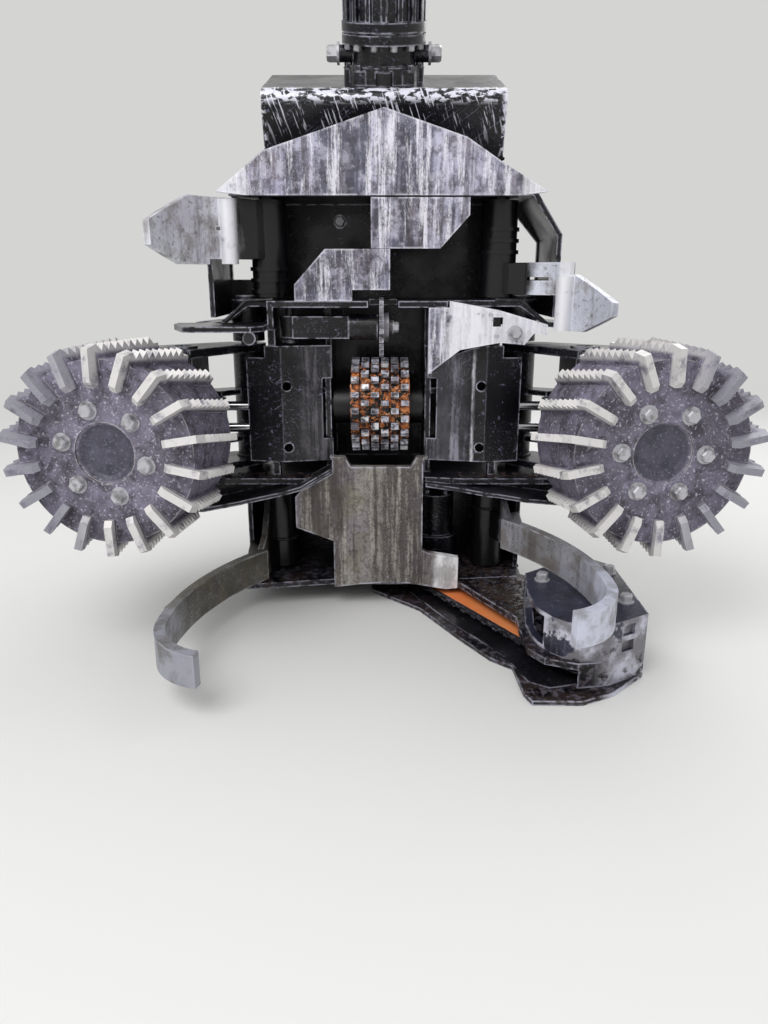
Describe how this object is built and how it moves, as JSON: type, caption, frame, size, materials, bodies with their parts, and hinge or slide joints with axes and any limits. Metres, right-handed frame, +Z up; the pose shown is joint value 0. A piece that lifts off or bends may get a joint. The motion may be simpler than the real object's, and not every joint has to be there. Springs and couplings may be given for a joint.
{
  "type": "harvester head",
  "caption": "Forestry harvester head that grips, feeds, delimbs and cross-cuts a stem, with tilt link and rotator.",
  "frame": {"origin": "on the ground under the middle of the head's box", "axes": "+Z up along the standing stem, -Y towards the stem and the open knives, +X to the right seen from the stem"},
  "size_m": [1.6118, 1.1716, 1.5982],
  "materials": {
    "black_paint": "gloss black paint under a film of oil and sawdust, worn to steel along its edges",
    "worn_plate": "steel rubbed bare by stems, with dark and rusty streaks",
    "pillar_steel": "bare steel stained olive brown",
    "knife_steel": "worn knife steel with stained patches",
    "roller_steel": "mud-grey steel with bright blade edges",
    "stud_steel": "dark stained steel with sawdust between the studs",
    "orange_paint": "orange paint of a fresh guide bar",
    "rod_chrome": "chromed rod, oily",
    "pin_steel": "machined pin, greased",
    "chain_steel": "oily saw chain with bright cutters"
  },
  "bodies": {
    "frame": {"back_wall": "black_paint", "upper_housing": "black_paint", "roof_plate": "worn_plate", "mid_deck": "black_paint", "low_deck": "black_paint", "base_deck": "black_paint", "lower_housing": "black_paint", "rear_box": "black_paint", "rear_hatch": "black_paint", "rub_plates": "worn_plate", "front_pillar": "pillar_steel", "cover_left": "black_paint", "cover_right": "black_paint", "apron": "worn_plate", "roller_bay": "black_paint", "saw_box": "black_paint", "saw_end_block": "black_paint", "saw_liner": "black_paint", "saw_motor": "black_paint", "frame_pins": "pin_steel"},
    "knife_upper_left": {"knife_upper_left": "knife_steel"},
    "knife_upper_right": {"knife_upper_right": "knife_steel"},
    "knife_lower_left": {"knife_lower_left": "knife_steel"},
    "knife_lower_right": {"knife_lower_right": "knife_steel"},
    "arm_left": {"feed_arm_left": "black_paint", "feed_motor_left": "black_paint"},
    "arm_right": {"feed_arm_right": "black_paint", "feed_motor_right": "black_paint"},
    "roller_left": {"feed_roller_left": "roller_steel"},
    "roller_right": {"feed_roller_right": "roller_steel"},
    "barrel_left": {"feed_barrel_left": "black_paint"},
    "barrel_right": {"feed_barrel_right": "black_paint"},
    "rod_left": {"feed_rod_left": "rod_chrome"},
    "rod_right": {"feed_rod_right": "rod_chrome"},
    "centre_roller": {"centre_roller": "stud_steel"},
    "measuring_arm": {"measuring_arm": "black_paint"},
    "measuring_wheel": {"measuring_wheel": "pin_steel"},
    "saw": {"saw_bar": "orange_paint", "saw_chain": "chain_steel"},
    "link": {"link_box": "black_paint", "link_arms": "black_paint", "rotator_base": "black_paint"},
    "rotator": {"rotator_head": "black_paint"},
    "tilt_barrel": {"tilt_barrel": "black_paint"},
    "tilt_rod": {"tilt_rod": "rod_chrome"}
  },
  "joints": [
    {"name": "tilt", "type": "hinge", "parent": "frame", "child": "link", "pos_m": [0, 0.48104, 0.6], "axis": [-1, 0, 0], "range_deg": [0, 110]},
    {"name": "rotator_spin", "type": "hinge", "parent": "link", "child": "rotator", "pos_m": [0, 0.21993, 1.35831], "axis": [0, -0.3256, 0.9455], "continuous": true},
    {"name": "knife_upper_left", "type": "hinge", "parent": "frame", "child": "knife_upper_left", "pos_m": [-0.28, 0.10904, 0.88], "axis": [0, 0, 1], "range_deg": [0, 86]},
    {"name": "knife_upper_right", "type": "hinge", "parent": "frame", "child": "knife_upper_right", "pos_m": [0.28, 0.10904, 0.88], "axis": [0, 0, -1], "range_deg": [0, 86]},
    {"name": "knife_lower_left", "type": "hinge", "parent": "frame", "child": "knife_lower_left", "pos_m": [-0.28, 0.10904, 0.195], "axis": [0, 0, 1], "range_deg": [0, 60]},
    {"name": "knife_lower_right", "type": "hinge", "parent": "frame", "child": "knife_lower_right", "pos_m": [0.28, 0.10904, 0.195], "axis": [0, 0, -1], "range_deg": [0, 60]},
    {"name": "feed_arm_left", "type": "hinge", "parent": "frame", "child": "arm_left", "pos_m": [-0.345, 0.12904, 0.515], "axis": [0, 0, 1], "range_deg": [0, 44]},
    {"name": "feed_arm_right", "type": "hinge", "parent": "frame", "child": "arm_right", "pos_m": [0.345, 0.12904, 0.515], "axis": [0, 0, -1], "range_deg": [0, 44]},
    {"name": "feed_roller_left", "type": "hinge", "parent": "arm_left", "child": "roller_left", "pos_m": [-0.584, -0.31096, 0.466], "axis": [-0.1392, -0.9903, 0], "continuous": true},
    {"name": "feed_roller_right", "type": "hinge", "parent": "arm_right", "child": "roller_right", "pos_m": [0.584, -0.31096, 0.466], "axis": [0.1392, -0.9903, 0], "continuous": true},
    {"name": "centre_roller", "type": "hinge", "parent": "frame", "child": "centre_roller", "pos_m": [0, 0.08704, 0.507], "axis": [1, 0, 0], "continuous": true},
    {"name": "measuring_arm", "type": "hinge", "parent": "frame", "child": "measuring_arm", "pos_m": [-0.23, 0.04904, 0.703], "axis": [0, 0, 1], "range_deg": [0, 14]},
    {"name": "measuring_wheel", "type": "hinge", "parent": "measuring_arm", "child": "measuring_wheel", "pos_m": [-0.006, 0.02704, 0.703], "axis": [1, 0, 0], "continuous": true},
    {"name": "saw", "type": "hinge", "parent": "frame", "child": "saw", "pos_m": [0.14, 0.07304, 0.027], "axis": [0, 0, -1], "range_deg": [0, 95]},
    {"name": "feed_barrel_left", "type": "hinge", "parent": "frame", "child": "barrel_left", "pos_m": [-0.178, 0.08504, 0.4775], "axis": [0, 0, 1], "range_deg": [0, 12]},
    {"name": "feed_rod_left", "type": "slide", "parent": "barrel_left", "child": "rod_left", "axis": [-0.9974, -0.0715, 0], "range_m": [-0.0565, 0]},
    {"name": "feed_barrel_right", "type": "hinge", "parent": "frame", "child": "barrel_right", "pos_m": [0.178, 0.08504, 0.4775], "axis": [0, 0, -1], "range_deg": [0, 12]},
    {"name": "feed_rod_right", "type": "slide", "parent": "barrel_right", "child": "rod_right", "axis": [0.9974, -0.0715, 0], "range_m": [-0.0565, 0]},
    {"name": "tilt_barrel", "type": "hinge", "parent": "frame", "child": "tilt_barrel", "pos_m": [0, 0.50804, 0.078], "axis": [-1, 0, 0], "range_deg": [0, 9]},
    {"name": "tilt_rod", "type": "slide", "parent": "tilt_barrel", "child": "tilt_rod", "axis": [0, 0.0481, 0.9988], "range_m": [-0.233, 0]}
  ],
  "couplings": [
    {"joint": "tilt_barrel", "follows": "tilt", "ratio": 0.07441},
    {"joint": "tilt_rod", "follows": "tilt", "m_per_rad": -0.12056},
    {"joint": "feed_barrel_left", "follows": "feed_arm_left", "ratio": 0.25889},
    {"joint": "feed_rod_left", "follows": "feed_arm_left", "m_per_rad": -0.072962},
    {"joint": "feed_barrel_right", "follows": "feed_arm_right", "ratio": 0.25889},
    {"joint": "feed_rod_right", "follows": "feed_arm_right", "m_per_rad": -0.072962}
  ]
}
